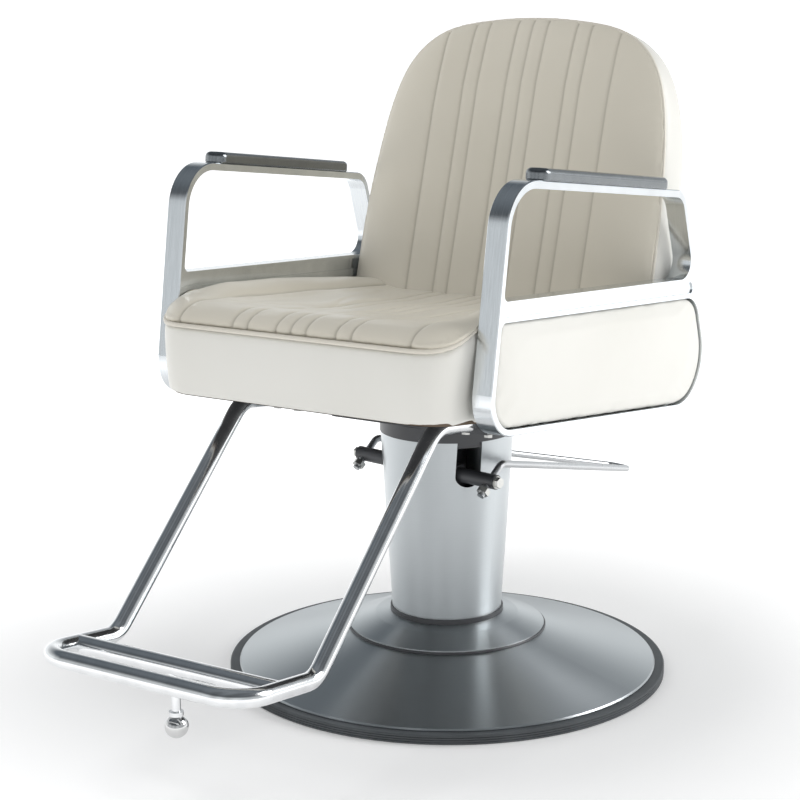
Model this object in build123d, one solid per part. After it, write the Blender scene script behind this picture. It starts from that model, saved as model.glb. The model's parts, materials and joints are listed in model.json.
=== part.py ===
"""Styling chair on a pump base, in millimetres: +Z up, origin on the floor under the column,
the sitter faces -Y and the sitter's left is +X."""
import os
from math import atan, cos, degrees, pi, radians, sin, tan

from build123d import *

# ---- Overall sizes -------------------------------------------------------------------------
BASE_R = 305.0                 # outside of the rubber rim
COLUMN_TOP_Z = 341.0           # top of the column cover
SEAT_FRONT_Y = -377.0          # front of the seat at its bottom plane
SEAT_FRONT_Z = 436.0           # height of the seat's bottom plane at its front
SEAT_SLOPE = 0.1157            # fall of the seat's bottom plane per mm to the rear
APRON_H = 88.0                 # bottom of the seat to its piping
ARM_INSIDE_X = 225.5           # inner face of the arm at its front leg
ARM_BAND_W = 28.0              # width of the arm's band
ARM_SPLAY = 2.5                # outward turn of each arm, degrees
BACK_FOOT_Y = 142.5            # front plane of the back at BACK_FOOT_Z
BACK_FOOT_Z = 600.0
BACK_LEAN = 16.1               # lean of the back, degrees
BACK_TOP = 309.5               # top of the back along its own front plane
BACK_BOTTOM = -208.0
BACK_HALF_W = 239.0
FOOT_TUBE_R = 11.0
FOOT_HALF_W = 148.0
BASE_TURN = -10.0              # the base stands turned by this under the seat, degrees

# ---- Clearances ----------------------------------------------------------------------------
RUN_FIT = 0.05                 # radial play of a shaft in its bearing
HOLE_FIT = 0.1                 # radial play of a bolt in its hole
SOFT_GAP = 0.5                 # air between upholstery and its neighbour

# ---- Base ----------------------------------------------------------------------------------
RIM_H = 13.0
RIM_FOOT_H = 3.0
RIM_FOOT_W = 20.0
PLATE_R = 288.0
PLATE_TOP = 11.0
COVER_R = 292.0
COLLAR_R = 139.0
COVER_TOP_Z = 60.5
TRIM_H = 3.5
COLLAR_TOP_Z = 83.0
COLUMN_FOOT_R = 76.0
COLUMN_TOP_R = 91.9
SHELL = 2.0
FOOT_RING_H = 6.5
CAP_H = 25.0

# ---- Pump ----------------------------------------------------------------------------------
SHAFT_Y = -43.0
SHAFT_Z = 294.0
SHAFT_R = 10.0
SHAFT_HALF_L = 126.0
NOTCH_HALF_W = 15.5
ROD_R = 5.0                    # wire of the bail
ROD_X = 115.0                  # where the bail passes through the shaft
TANK_R = 52.0
TANK_WALL = 4.0
FLANGE_R = 72.0
FLANGE_H = 12.0
FLANGE_BOLT_PCD = 126.0
HEAD_Z = 232.0
HEAD_H = 14.0
HEAD_R = 66.0
RAM_R = 22.0
TUBE_R = 28.0
TUBE_TOP_Z = 318.0
LIFT_TRAVEL = 150.0
RAM_FOOT_Z = 80.0
RAM_SHOULDER_Z = 367.0
SPINDLE_R = 12.0
SPINDLE_TOP_Z = 387.0
PLUNGER_X = 33.0
FINGER_REACH = 24.0
FINGER_NOSE_R = 6.0
PLUNGER_Y = SHAFT_Y + FINGER_REACH
CAP_R = 7.5
PLUNGER_R = 5.0

# ---- Seat carrier --------------------------------------------------------------------------
WASHER_H = 1.5
HUB_Z = RAM_SHOULDER_Z + WASHER_H
HUB_H = 7.5
HUB_R = 62.0
HUB_BOLT_R = 46.0
SEAT_PLATE_Z = HUB_Z + HUB_H
SEAT_PLATE_H = 5.0
RAIL_X = 80.0
RAIL_W = 30.0
RAIL_FRONT_Y = -150.0
RAIL_REAR_Y = 45.0
BOARD_H = 15.0
DUST_H = 1.2
SEAT_CORNER_R = 60.0
APRON_TAPER = 7.0
CREST = 27.0                   # height of the dished middle over the apron, behind the front roll
BOLSTER_CREST = 42.0
ROLL_LENGTH = 80.0             # depth of the rolled front edge
DISH_HALF_W = 172.0
DISH_DEPTH = 22.0
PAD_RISE = 0.0386              # climb of the pad's top to the rear
PIPE_R = 2.8

# ---- Arms (y, z outline) -------------------------------------------------------------------
ARM_PIVOT_Y = -278.0
ARM_CORNERS = {
    "front_foot": (-317.0, 418.0, 48.0),
    "rear_foot": (272.0, 357.0, 76.0),
    "rear_top": (167.0, 669.0, 32.0),
    "front_top": (-269.0, 718.5, 60.0),
}
ARM_BAND_T = 8.0
ARM_TOP_T = 10.0
RAIL_TOP_LINE = ((-250.0, 574.0), (128.0, 551.0))
RAIL_FOOT_LINE = ((-249.0, 549.0), (129.0, 524.5))
CHANNEL_DEPTH = 2.0
WEB_T = 4.0
PANEL_BOARD_T = 8.0
PAD_FRONT_Y = -203.0
PAD_REAR_Y = 123.0
PAD_W = 32.0
PAD_T = 15.0
PAD_ROUND = 7.0
ARM_BOLT_YS = (-200.0, -70.0, 60.0)
ARM_BOLT_RISE = 38.0

# ---- Back ----------------------------------------------------------------------------------
SEAM_T = 14.0                  # depth of the welt behind the front plane
FRONT_PAD_T = 40.0             # foam in front of the board
FOAM_INSET = 12.0
BACK_BOARD_T = 12.0
BACK_T = 90.0
BRACKET_X = 111.0
BRACKET_W = 26.0
BRACKET_T = 6.0
BRACKET_TOP = -60.0

# ---- Footrest ------------------------------------------------------------------------------
LEG_TOP = (-268.0, 411.0)
KNEE = (-524.0, 167.5)
TREAD_FRONT_Y = -661.0
TREAD_RISE = 0.12
REAR_BAR_Y = -592.0
TUBE_WALL = 2.0
BALL_R = 14.0
BALL_Z = 103.0
STEM_R = 5.5

SEAT_ANGLE = degrees(atan(SEAT_SLOPE))
SEAT_PLACE = Pos(0, SEAT_FRONT_Y, SEAT_FRONT_Z) * Rot(X=-SEAT_ANGLE)
BACK_PLACE = Pos(0, BACK_FOOT_Y, BACK_FOOT_Z) * Rot(X=-BACK_LEAN)
ARM_PLACE = Pos(ARM_INSIDE_X, ARM_PIVOT_Y, 0) * Rot(Z=-ARM_SPLAY)
BASE_PLACE = Rot(Z=BASE_TURN)
NODES = {}


def seat_bottom_z(y, below=0.0):
    """Height of the seat's bottom plane, or of a plane the given distance below it."""
    return SEAT_FRONT_Z - SEAT_SLOPE * (y - SEAT_FRONT_Y) - below / cos(radians(SEAT_ANGLE))


def joins(points, closed):
    """Tangent points and arc middles for corners given as (point, radius)."""
    count = len(points)
    result = []
    for i, (corner, radius) in enumerate(points):
        at_end = not closed and i in (0, count - 1)
        if radius == 0 or at_end:
            result.append((corner, corner, None))
            continue
        back = (points[i - 1][0] - corner).normalized()
        ahead = (points[(i + 1) % count][0] - corner).normalized()
        half = radians(back.get_angle(ahead) / 2)
        centre = corner + (back + ahead).normalized() * (radius / sin(half))
        middle = centre + (corner - centre).normalized() * radius
        reach = radius / tan(half)
        result.append((corner + back * reach, corner + ahead * reach, middle))
    return result


def rounded_edges(points, closed=False):
    """Straight edges and arcs through corners given as (point, radius)."""
    places = joins(points, closed)
    count = len(places)
    edges = []
    for i, (start, end, middle) in enumerate(places):
        if middle is not None:
            edges.append(ThreePointArc(start, middle, end))
        if i < count - 1 or closed:
            following = places[(i + 1) % count][0]
            if (following - end).length > 1e-4:
                edges.append(Line(end, following))
    return edges


def rounded_face(corners):
    """Flat face in XY from (x, y, radius) corners."""
    return make_face(rounded_edges([(Vector(x, y), r) for x, y, r in corners], closed=True))


def turned_profile(points):
    """Ring or disc from (radius, height) points."""
    return revolve(Plane.XZ * make_face(Polyline(*points, close=True)), Axis.Z)


def ring(inner, outer, low, high):
    return turned_profile([(inner, low), (outer, low), (outer, high), (inner, high)])


def rod(radius, low, high):
    """Upright rod on the Z axis."""
    return Pos(0, 0, low) * Cylinder(radius, high - low, align=(Align.CENTER, Align.CENTER, Align.MIN))


def rod_x(radius, low, high):
    """Rod along X."""
    return Pos(low, 0, 0) * Rot(Y=90) * rod(radius, 0, high - low)


def hexagon(across, low, high):
    """Hexagonal head or nut on the Z axis."""
    return Pos(0, 0, low) * extrude(RegularPolygon(across / 2, 6, major_radius=False), high - low)


def hex_screw(radius, length, across, head):
    """Screw with its head on z 0 and its shank going up."""
    return rod(radius, 0, length) + hexagon(across, -head, 0)


def yz_solid(face, low, high):
    """Face drawn in (y, z), made a solid from x low to x high."""
    return extrude(Plane.YZ.offset(low) * face, high - low)


def line_through(a, b):
    return (Vector(*a), (Vector(*b) - Vector(*a)).normalized())


def shifted(line, distance):
    """Parallel line to the left of the given one by a distance."""
    start, way = line
    return (start + Vector(-way.Y, way.X) * distance, way)


def meet(one, two):
    """Where two lines cross."""
    (p, u), (q, v) = one, two
    gap = q - p
    along = (gap.X * v.Y - gap.Y * v.X) / (u.X * v.Y - u.Y * v.X)
    return p + u * along


def keep(name, shape):
    """Stores a node under its name."""
    NODES[name] = shape


def group(parts):
    """Separate solids that share one node."""
    return Compound(children=[solid for part in parts for solid in part.solids()])


# ---- Base ----------------------------------------------------------------------------------
def base_pieces():
    foot_in = PLATE_R - RIM_FOOT_W
    keep("base_plate", rod(foot_in - HOLE_FIT, 0, PLATE_TOP) + rod(PLATE_R, RIM_FOOT_H, PLATE_TOP))
    rib = 1.0
    wall = [(BASE_R - 2, 0), (BASE_R, 1.5)]
    for i in range(3):
        low = 3.0 + 3.0 * i
        wall += [(BASE_R, low), (BASE_R - rib, low + 0.5), (BASE_R - rib, low + 1), (BASE_R, low + 1.5)]
    wall += [(BASE_R, RIM_H - 1), (BASE_R - 1.5, RIM_H)]
    inner = PLATE_R + HOLE_FIT
    keep("base_rim", turned_profile([(foot_in, 0)] + wall + [
        (inner, RIM_H), (inner, RIM_FOOT_H), (foot_in, RIM_FOOT_H)]))
    cover_edge = [(inner + 1, RIM_H), (COVER_R - 1, RIM_H), (COVER_R, RIM_H + 1.2), (COVER_R - 1.5, RIM_H + 3.4)]
    keep("base_cover", turned_profile(cover_edge + [
        (COLLAR_R - 1, COVER_TOP_Z), (COLLAR_R - 9, COVER_TOP_Z), (COLLAR_R - 9, COVER_TOP_Z - SHELL),
        (COLLAR_R - 2, COVER_TOP_Z - SHELL), (inner + 1, RIM_H + 1.4)]))
    trim_top = COVER_TOP_Z + TRIM_H
    keep("collar_ring", turned_profile([
        (COLLAR_R - 9, COVER_TOP_Z), (COLLAR_R - 0.8, COVER_TOP_Z), (COLLAR_R, COVER_TOP_Z + 1),
        (COLLAR_R, trim_top - 1), (COLLAR_R - 0.8, trim_top), (COLLAR_R - 9, trim_top)]))
    lip = COLLAR_R - 2.5
    keep("collar", turned_profile([
        (lip - 5, trim_top), (lip, trim_top), (lip, trim_top + 1.5), (COLUMN_FOOT_R + 24, COLLAR_TOP_Z - 4.5),
        (COLUMN_FOOT_R + 4, COLLAR_TOP_Z), (COLUMN_FOOT_R - 3, COLLAR_TOP_Z),
        (COLUMN_FOOT_R - 3, COLLAR_TOP_Z - SHELL), (COLUMN_FOOT_R + 3, COLLAR_TOP_Z - SHELL),
        (COLUMN_FOOT_R + 23, COLLAR_TOP_Z - 6.5), (lip - 5, trim_top + 1)]))


def column_radius(z):
    """Outside of the tapered column cover."""
    share = (z - COLLAR_TOP_Z) / (COLUMN_TOP_Z - COLLAR_TOP_Z)
    return COLUMN_FOOT_R + (COLUMN_TOP_R - COLUMN_FOOT_R) * share


def column_pieces():
    ring_top = COLLAR_TOP_Z + FOOT_RING_H
    keep("foot_ring", ring(column_radius(ring_top) + HOLE_FIT, COLUMN_FOOT_R + 3, COLLAR_TOP_Z, ring_top))
    shell = turned_profile([
        (COLUMN_FOOT_R, COLLAR_TOP_Z), (COLUMN_TOP_R, COLUMN_TOP_Z), (COLUMN_TOP_R - SHELL, COLUMN_TOP_Z),
        (COLUMN_FOOT_R - SHELL, COLLAR_TOP_Z)])
    notch_h = COLUMN_TOP_Z - SHAFT_Z + 10
    width = 4 * COLUMN_TOP_R
    notch = Pos(0, SHAFT_Y, SHAFT_Z + notch_h / 2) * Box(width, 2 * NOTCH_HALF_W, notch_h)
    notch += Pos(0, SHAFT_Y, SHAFT_Z) * rod_x(NOTCH_HALF_W, -width / 2, width / 2)
    keep("column_cover", BASE_PLACE * (shell - notch))
    skirt = COLUMN_TOP_R - SHELL - 0.8
    cap_top = COLUMN_TOP_Z + CAP_H
    keep("cap_ring", turned_profile([
        (skirt - 3, COLUMN_TOP_Z - 8), (skirt, COLUMN_TOP_Z - 8), (skirt, COLUMN_TOP_Z),
        (COLUMN_TOP_R + 0.9, COLUMN_TOP_Z), (COLUMN_TOP_R + 0.9, cap_top - 6), (COLUMN_TOP_R - 4, cap_top),
        (36, cap_top), (36, cap_top - 4), (skirt - 3, cap_top - 4)]))


# ---- Pump ----------------------------------------------------------------------------------
def pump_pieces():
    flange_top = PLATE_TOP + FLANGE_H
    tank = rod(FLANGE_R, PLATE_TOP, flange_top) + ring(TANK_R - TANK_WALL, TANK_R, flange_top, HEAD_Z)
    bolts = []
    for i in range(6):
        place = Rot(Z=60 * i) * Pos(FLANGE_BOLT_PCD / 2, 0, flange_top)
        bolts.append(place * Rot(X=180) * hex_screw(4, FLANGE_H - 1, 13, 6))
        tank -= place * rod(4 + HOLE_FIT, -FLANGE_H, 1)
    keep("reservoir", BASE_PLACE * tank)
    keep("flange_bolts", BASE_PLACE * group(bolts))

    head_top = HEAD_Z + HEAD_H
    head = rod(HEAD_R, HEAD_Z, head_top) + rod(TUBE_R, 30, TUBE_TOP_Z)
    head += Pos(PLUNGER_X, PLUNGER_Y, 0) * rod(CAP_R + 1, 200, head_top)
    head -= rod(RAM_R + 2, 20, TUBE_TOP_Z + 1)
    head -= Pos(PLUNGER_X, PLUNGER_Y, 0) * rod(PLUNGER_R + RUN_FIT, 204, head_top + 1)
    for side in (-1, 1):
        block = Pos(side * 52, SHAFT_Y, (head_top + SHAFT_Z + 12) / 2)
        head += block * Box(16, 26, SHAFT_Z + 12 - head_top)
    head -= Pos(0, SHAFT_Y, SHAFT_Z) * rod_x(SHAFT_R + RUN_FIT, -90, 90)
    keep("pump_head", BASE_PLACE * head)
    keep("gland", ring(RAM_R + RUN_FIT, TUBE_R + 3, TUBE_TOP_Z, TUBE_TOP_Z + 10))

    cap_top = SHAFT_Z - FINGER_NOSE_R - RUN_FIT
    plunger = rod(PLUNGER_R, 213, cap_top - 5) + rod(CAP_R, cap_top - 5, cap_top)
    keep("plunger", BASE_PLACE * Pos(PLUNGER_X, PLUNGER_Y, 0) * plunger)
    coil_h = cap_top - 5 - head_top - 2.4
    wire = 0.8
    coil_r = CAP_R - wire
    helix = Helix(pitch=coil_h / 6, height=coil_h, radius=coil_r)
    start = Plane(origin=helix @ 0, z_dir=helix % 0)
    spring = sweep(start * Circle(wire), path=helix)
    keep("plunger_spring", BASE_PLACE * Pos(PLUNGER_X, PLUNGER_Y, head_top + 1.2) * spring)


def lift_pieces():
    ram = rod(RAM_R, RAM_FOOT_Z, RAM_SHOULDER_Z) + rod(SPINDLE_R, RAM_SHOULDER_Z, SPINDLE_TOP_Z)
    keep("ram", ram)
    keep("ram_piston", rod(RAM_R + 2 - RUN_FIT, RAM_FOOT_Z - 14, RAM_FOOT_Z))
    keep("thrust_washer", ring(SPINDLE_R + RUN_FIT, RAM_R - 1, RAM_SHOULDER_Z, RAM_SHOULDER_Z + WASHER_H))
    nut = hexagon(30, SEAT_PLATE_Z + 0.1, SPINDLE_TOP_Z - 1) - rod(SPINDLE_R, 0, SPINDLE_TOP_Z)
    keep("spindle_nut", nut)


# ---- Pump lever ----------------------------------------------------------------------------
def bail_points():
    """Corners of one side of the bail, from its threaded end to its tip."""
    tip_y, tip_z, tip_half = 402.0, 213.0, 17.0
    slant = radians(41)
    end = Vector(ROD_X, SHAFT_Y - 26 * cos(slant), SHAFT_Z - 26 * sin(slant))
    bend = Vector(ROD_X, SHAFT_Y + 30 * cos(slant), SHAFT_Z + 30 * sin(slant))
    return end, bend, Vector(tip_half, tip_y, tip_z)


def mirrored(point):
    return Vector(-point.X, point.Y, point.Z)


def lever_pieces():
    end, bend, tip = bail_points()
    path = [(end, 0), (bend, 14), (tip, 15), (mirrored(tip), 15), (mirrored(bend), 14), (mirrored(end), 0)]
    wire = Wire(rounded_edges(path))
    bail = sweep(Plane(origin=end, z_dir=bend - end) * Circle(ROD_R), path=wire)
    shaft = rod_x(SHAFT_R, -SHAFT_HALF_L, SHAFT_HALF_L)
    finger = Box(10, FINGER_REACH, 2 * FINGER_NOSE_R, align=(Align.CENTER, Align.MIN, Align.CENTER))
    shaft += Pos(PLUNGER_X, 0, 0) * finger
    shaft += Pos(PLUNGER_X - 5, FINGER_REACH, 0) * rod_x(FINGER_NOSE_R, 0, 10)
    shaft = Pos(0, SHAFT_Y, SHAFT_Z) * shaft
    nuts = []
    screws = []
    for side in (-1, 1):
        foot = Vector(side * end.X, end.Y, end.Z)
        along = Plane(origin=foot, z_dir=bend - end)
        shaft -= along * rod(ROD_R + HOLE_FIT, -20, 60)
        nuts.append(along * (hexagon(15, 4.5, 12) - rod(ROD_R, 0, 20)))
        face = Pos(side * SHAFT_HALF_L, SHAFT_Y, SHAFT_Z) * Rot(Y=-90 * side)
        washer = ring(0, 8.5, -1.6, 0)
        depth = SHAFT_HALF_L - ROD_X - ROD_R - 2
        screws.append(face * (washer + rod(4, -1, depth) + hexagon(13, -7, -1.6)))
        shaft -= face * rod(4 + HOLE_FIT, -1, depth + 0.5)
    keep("pedal_shaft", BASE_PLACE * shaft)
    keep("pedal_bail", BASE_PLACE * bail)
    keep("bail_nuts", BASE_PLACE * group(nuts))
    keep("shaft_bolts", BASE_PLACE * group(screws))


# ---- Seat carrier --------------------------------------------------------------------------
def carrier_pieces():
    hub = rod(HUB_R, HUB_Z, SEAT_PLATE_Z) - rod(SPINDLE_R + RUN_FIT, HUB_Z - 1, SEAT_PLATE_Z + 1)
    length = RAIL_REAR_Y - RAIL_FRONT_Y
    plate = Pos(0, (RAIL_REAR_Y + RAIL_FRONT_Y) / 2, SEAT_PLATE_Z) * extrude(
        RectangleRounded(2 * RAIL_X + RAIL_W, length, 12), SEAT_PLATE_H)
    plate -= rod(SPINDLE_R + 10, SEAT_PLATE_Z - 1, SEAT_PLATE_Z + SEAT_PLATE_H + 1)
    hub_screws = []
    for i in range(4):
        place = Rot(Z=45 + 90 * i) * Pos(HUB_BOLT_R, 0, SEAT_PLATE_Z + SEAT_PLATE_H)
        hub_screws.append(place * Rot(X=180) * hex_screw(4, SEAT_PLATE_H + HUB_H - 1, 13, 3))
        plate -= place * rod(4 + HOLE_FIT, -SEAT_PLATE_H - 1, 1)
        hub -= place * rod(4 + HOLE_FIT, -SEAT_PLATE_H - HUB_H - 1, 1)
    top = SEAT_PLATE_Z + SEAT_PLATE_H
    wedge = make_face(Polyline(
        (RAIL_FRONT_Y, top), (RAIL_REAR_Y, top), (RAIL_REAR_Y, seat_bottom_z(RAIL_REAR_Y, DUST_H)),
        (RAIL_FRONT_Y, seat_bottom_z(RAIL_FRONT_Y, DUST_H)), close=True))
    rails = []
    rail_screws = []
    drills = []
    for side in (-1, 1):
        rail = yz_solid(wedge, side * RAIL_X - RAIL_W / 2, side * RAIL_X + RAIL_W / 2)
        for y in (RAIL_FRONT_Y + 30, RAIL_REAR_Y - 40):
            place = Pos(side * RAIL_X, y, SEAT_PLATE_Z)
            screw = place * hex_screw(4, seat_bottom_z(y) - SEAT_PLATE_Z + BOARD_H - 5, 13, 5)
            drill = place * rod(4 + HOLE_FIT, -1, seat_bottom_z(y) - SEAT_PLATE_Z + BOARD_H - 4)
            rail_screws.append(screw)
            drills.append(drill)
            rail -= drill
            plate -= drill
        rails.append(rail)
    keep("hub", hub)
    keep("hub_screws", group(hub_screws))
    keep("seat_plate", plate)
    keep("seat_rails", group(rails))
    keep("rail_screws", group(rail_screws))
    return drills


# ---- Seat ----------------------------------------------------------------------------------
def seat_outline(inset, z, proud=0.0):
    """Plan of the seat on a level plane, inset from its sides and front, and standing proud in front."""
    splay = tan(radians(ARM_SPLAY))
    front = SEAT_FRONT_Y + inset - proud
    rear = 200.0
    half_front = ARM_INSIDE_X - SOFT_GAP - inset + splay * (front - ARM_PIVOT_Y)
    half_rear = ARM_INSIDE_X - SOFT_GAP - inset + splay * (rear - ARM_PIVOT_Y)
    radius = SEAT_CORNER_R - inset
    return Pos(0, 0, z) * rounded_face([
        (-half_front, front, radius), (half_front, front, radius), (half_rear, rear, 0), (-half_rear, rear, 0)])


def seat_layer(inset, low, high, taper=0.0, proud=0.0):
    """Slice of the seat between two heights over its bottom plane."""
    plan = Pos(0, -SEAT_FRONT_Y, 0) * seat_outline(inset, 0, proud)
    if taper:
        return Pos(0, 0, high) * extrude(plan, low - high, taper=taper)
    return Pos(0, 0, low) * extrude(plan, high - low)


def behind_back(gap):
    """All space behind the back's front plane moved forward by a gap."""
    size = 900
    return BACK_PLACE * Pos(0, size / 2 - gap, 0) * Box(size, size, 2 * size)


def arm_frame_box(x_low, x_high, y, z, y_size, z_size):
    """Box in the arm's own frame, given by its inner and outer x."""
    middle = Pos((x_low + x_high) / 2, y - ARM_PIVOT_Y, z)
    return ARM_PLACE * middle * Box(x_high - x_low, y_size, z_size)


def both_sides(shape):
    return [shape, mirror(shape, Plane.YZ)]


def arm_bolt(radius, low, high):
    """Bolt shanks through the arm's web into the seat, on the left side."""
    shanks = []
    for y in ARM_BOLT_YS:
        z = seat_bottom_z(y) + ARM_BOLT_RISE
        shanks.append(ARM_PLACE * Pos(0, y - ARM_PIVOT_Y, z) * rod_x(radius, low, high))
    return shanks


def seat_pieces(drills):
    board = SEAT_PLACE * seat_layer(18, 0, BOARD_H)
    block_y = (ARM_BOLT_YS[0] + ARM_BOLT_YS[-1]) / 2
    block = arm_frame_box(-40, -20, block_y, seat_bottom_z(block_y) + 34, 330, 90)
    block &= SEAT_PLACE * seat_layer(0, BOARD_H, 60)
    for side_block in both_sides(block):
        board += side_block
    board -= behind_back(20)
    shanks = [solid for shank in arm_bolt(4 + HOLE_FIT, -60, 0) for solid in both_sides(shank)]
    for drill in drills + shanks:
        board -= drill
    keep_out = SEAT_PLACE * seat_layer(18, -1, BOARD_H)
    for side_block in both_sides(block):
        keep_out += side_block
    dust = SEAT_PLACE * seat_layer(22, -DUST_H, 0) - behind_back(30)
    for drill in drills:
        dust -= drill

    pipe = SEAT_PLACE * (seat_layer(0, APRON_H - PIPE_R, APRON_H + PIPE_R, proud=PIPE_R - 0.6)
                         - seat_layer(4, APRON_H - PIPE_R - 1, APRON_H + PIPE_R + 1))
    pipe -= behind_back(4)
    body = SEAT_PLACE * seat_layer(0, 0, APRON_H, taper=APRON_TAPER)
    body = body - behind_back(1) - keep_out - pipe
    for shank in shanks:
        body -= shank

    length = 520.0
    rear_h = BOLSTER_CREST + PAD_RISE * (length - ROLL_LENGTH)
    side_view = make_face([
        Line((0, 0), (length, 0)), Line((length, 0), (length, rear_h)),
        Line((length, rear_h), (ROLL_LENGTH, BOLSTER_CREST)),
        ThreePointArc((ROLL_LENGTH, BOLSTER_CREST), (0.3 * ROLL_LENGTH, 0.67 * BOLSTER_CREST), (0, 0))])
    block = Pos(0, 0, APRON_H) * yz_solid(side_view, -300, 300)
    dish_r = (DISH_HALF_W ** 2 + DISH_DEPTH ** 2) / (2 * DISH_DEPTH)
    dish = Rot(X=degrees(atan(PAD_RISE)) - 90) * Cylinder(dish_r, 3 * length)
    block -= Pos(0, ROLL_LENGTH, APRON_H + CREST + dish_r) * dish
    pad = SEAT_PLACE * (seat_layer(1, APRON_H, APRON_H + 80) & block) - behind_back(1) - pipe
    keep("seat_board", board)
    keep("dust_cover", dust)
    keep("seat_body", body)
    keep("seat_piping", pipe)
    keep("seat_pad", pad)


# ---- Back ----------------------------------------------------------------------------------
def back_outline(inset):
    """Arch of the back in its front plane, x across and y up the plane."""
    half = BACK_HALF_W - inset
    top = BACK_TOP - inset
    crown = 1 - inset / BACK_HALF_W
    right = [(half, -90), (half - 8, 107), (half - 20, 187), (half - 47, 252 - inset * 0.5),
             (half - 88, 287 - inset * 0.8), (91 * crown, top - 6.5), (0, top)]
    left = [(-x, y) for x, y in reversed(right[:-1])]
    bottom = BACK_BOTTOM + inset
    arch = Spline(*(right + left), tangents=[(0, 1), (0, -1)])
    return make_face([arch, Line((-half, -90), (-half, bottom)), Line((-half, bottom), (half, bottom)),
                      Line((half, bottom), (half, -90))])


def back_layer(inset, front, rear):
    """Slice of the back between two depths behind its front plane."""
    face = Plane(origin=(0, front, 0), x_dir=(1, 0, 0), z_dir=(0, -1, 0)) * back_outline(inset)
    return extrude(face, front - rear)


def bracket_face(clear):
    """Side view of the bent bracket that ties the back to the seat."""
    seat_line = line_through((-40, seat_bottom_z(-40, DUST_H - clear)), (200, seat_bottom_z(200, DUST_H - clear)))
    lean = radians(BACK_LEAN)
    depth = FRONT_PAD_T + BACK_BOARD_T
    foot = Vector(BACK_FOOT_Y + depth * cos(lean), BACK_FOOT_Z - depth * sin(lean))
    back_line = (foot, Vector(sin(lean), cos(lean)))
    outer_seat = shifted(seat_line, -BRACKET_T - 2 * clear)
    outer_back = shifted(back_line, -BRACKET_T - clear)
    top = foot + back_line[1] * BRACKET_TOP
    outer_top = top + Vector(cos(lean), -sin(lean)) * (BRACKET_T + clear)
    inner_bend = meet(seat_line, back_line)
    outer_bend = meet(outer_seat, outer_back)
    front = seat_line[0]
    front_low = outer_seat[0]
    return rounded_face([
        (front.X, front.Y, 0), (inner_bend.X, inner_bend.Y, 5), (top.X, top.Y, 0), (outer_top.X, outer_top.Y, 0),
        (outer_bend.X, outer_bend.Y, 5 + BRACKET_T), (front_low.X, front_low.Y, 0)])


def back_pieces():
    foam = back_layer(FOAM_INSET, SEAM_T, FRONT_PAD_T)
    pad = back_layer(0, 0, SEAM_T)
    shell = back_layer(0, SEAM_T, BACK_T)
    board = back_layer(16, FRONT_PAD_T, FRONT_PAD_T + BACK_BOARD_T)
    rear_edges = shell.edges().group_by(Axis.Y)[-1]
    shell = fillet(rear_edges, 22) - board - foam
    front_edges = pad.edges().group_by(Axis.Y)[0]
    pad = fillet(front_edges, 9) + foam
    seam_low = SEAM_T - PIPE_R
    seam_high = SEAM_T + PIPE_R
    pipe = back_layer(-1.2, seam_low, seam_high) - back_layer(4, seam_low - 1, seam_high + 1)
    shell = BACK_PLACE * (shell - pipe)
    brackets = []
    screws = []
    board = BACK_PLACE * board
    for side in (-1, 1):
        low = side * BRACKET_X - BRACKET_W / 2
        bracket = yz_solid(bracket_face(0), low, low + BRACKET_W)
        shell -= yz_solid(bracket_face(0.4), low - 0.4, low + BRACKET_W + 0.4)
        for rise in (BRACKET_TOP - 25, BRACKET_TOP - 85):
            place = BACK_PLACE * Pos(side * BRACKET_X, FRONT_PAD_T + BACK_BOARD_T + BRACKET_T, rise) * Rot(X=90)
            drill = place * rod(3 + HOLE_FIT, -1, BRACKET_T + BACK_BOARD_T - 1)
            screws.append(place * hex_screw(3, BRACKET_T + BACK_BOARD_T - 2, 10, 4))
            bracket -= drill
            board -= drill
            shell -= place * rod(7, -5, 0)
        for y in (-22, 34):
            place = Pos(side * BRACKET_X, y, seat_bottom_z(y, DUST_H + BRACKET_T)) * Rot(X=-SEAT_ANGLE)
            drill = place * rod(3 + HOLE_FIT, -1, BRACKET_T + DUST_H + BOARD_H - 3)
            screws.append(place * hex_screw(3, BRACKET_T + DUST_H + BOARD_H - 4, 10, 4))
            bracket -= drill
            NODES["seat_board"] -= drill
            NODES["dust_cover"] -= drill
        brackets.append(bracket)
    keep("back_pad", BACK_PLACE * (pad - pipe))
    keep("back_piping", BACK_PLACE * pipe)
    keep("back_shell", shell)
    keep("back_board", board)
    keep("back_brackets", group(brackets))
    keep("bracket_screws", group(screws))


# ---- Arms ----------------------------------------------------------------------------------
def arm_sides():
    """The four straight sides of the arm's outline, going round so that inside is to the left."""
    names = ["front_foot", "rear_foot", "rear_top", "front_top"]
    spots = [ARM_CORNERS[name][:2] for name in names]
    return [line_through(spots[i], spots[(i + 1) % 4]) for i in range(4)]


def arm_face():
    return rounded_face(ARM_CORNERS.values())


def window(corners):
    return rounded_face([(point.X, point.Y, radius) for point, radius in corners])


def upper_window():
    foot, rear, top, front = arm_sides()
    rail = line_through(*RAIL_TOP_LINE)
    rear_in = shifted(rear, ARM_BAND_T + 1)
    top_in = shifted(top, ARM_TOP_T)
    front_in = shifted(front, ARM_BAND_T)
    return window([(meet(front_in, rail), 8), (meet(rear_in, rail), 24), (meet(rear_in, top_in), 24),
                   (meet(front_in, top_in), 51)])


def lower_window(inset=0.0):
    foot, rear, top, front = arm_sides()
    rail = shifted(line_through(*RAIL_FOOT_LINE), -inset)
    rear_in = shifted(rear, ARM_BAND_T + 1 + inset)
    foot_in = shifted(foot, ARM_BAND_T + inset)
    front_in = shifted(front, ARM_BAND_T + inset)
    return window([(meet(front_in, foot_in), 40 - inset), (meet(rear_in, foot_in), 67 - inset),
                   (meet(rear_in, rail), 40 - inset), (meet(front_in, rail), 10 - inset)])


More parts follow.
